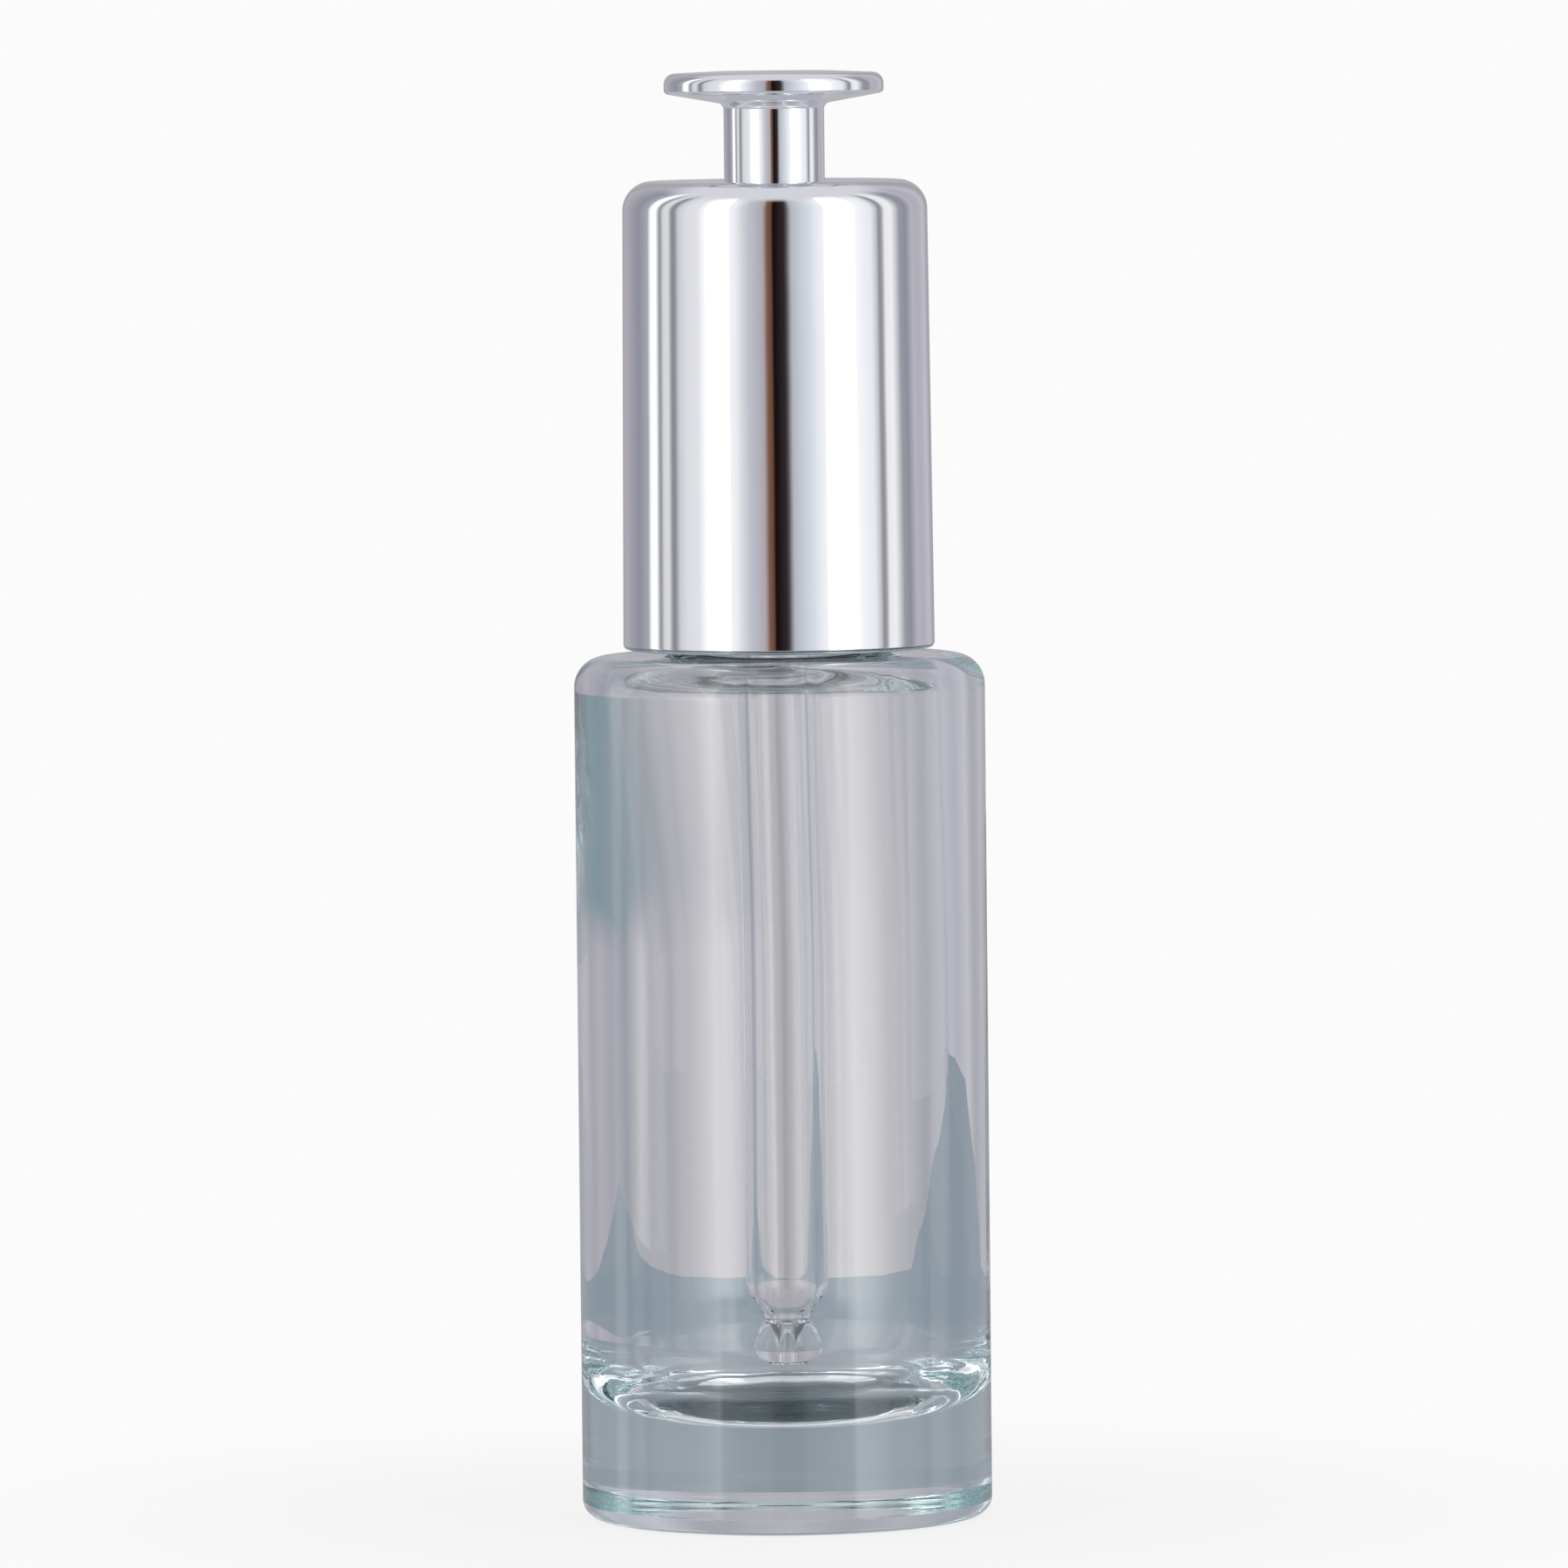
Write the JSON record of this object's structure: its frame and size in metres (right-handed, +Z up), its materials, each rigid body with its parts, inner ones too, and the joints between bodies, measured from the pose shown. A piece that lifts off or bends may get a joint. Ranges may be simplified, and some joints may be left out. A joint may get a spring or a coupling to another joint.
{
  "type": "push-button dropper bottle",
  "caption": "Clear thick-based cylindrical glass bottle with a tall chrome-plated push-button dropper closure and a ball-tipped glass pipette.",
  "frame": {"origin": "centre of the ring that the bottle stands on", "axes": "+Z up along the bottle's axis, through the button; +X and +Y are alike, since the object is round"},
  "size_m": [0.035, 0.035, 0.1233],
  "materials": {
    "clear_glass": "polished",
    "chrome_plating": "mirror polished",
    "white_polypropylene": "as moulded",
    "natural_polyethylene": "as moulded, slightly translucent",
    "foam_liner": "matt",
    "white_acetal": "as moulded",
    "white_silicone": "matt",
    "spring_steel": "drawn, bright"
  },
  "bodies": {
    "bottle": {"glass_bottle": "clear_glass", "neck_wiper": "natural_polyethylene"},
    "washer": {"sealing_washer": "foam_liner"},
    "dropper": {"pipette": "clear_glass", "rubber_bulb": "white_silicone"},
    "closure": {"inner_cap": "white_polypropylene", "outer_shell": "chrome_plating", "bulb_clamp": "white_polypropylene", "guide_bush": "white_polypropylene", "return_spring": "spring_steel"},
    "pusher": {"button": "chrome_plating", "plunger": "white_acetal"}
  },
  "joints": [
    {"name": "lift_out", "type": "slide", "parent": "bottle", "child": "washer", "axis": [0, 0, 1], "range_m": [0, 0.08]},
    {"name": "cap_lift", "type": "slide", "parent": "washer", "child": "dropper", "axis": [0, 0, 1], "range_m": [0, 0.00476]},
    {"name": "cap_turn", "type": "hinge", "parent": "dropper", "child": "closure", "pos_m": [0, 0, 0.08], "axis": [0, 0, 1], "range_deg": [0, 540]},
    {"name": "button_press", "type": "slide", "parent": "closure", "child": "pusher", "axis": [0, 0, -1], "range_m": [0, 0.006], "stiffness_N_per_m": 400, "springref_m": -0.004, "deforming": ["return_spring", "rubber_bulb"]}
  ],
  "couplings": [
    {"joint": "cap_lift", "follows": "cap_turn", "m_per_rad": 0.00050532}
  ]
}
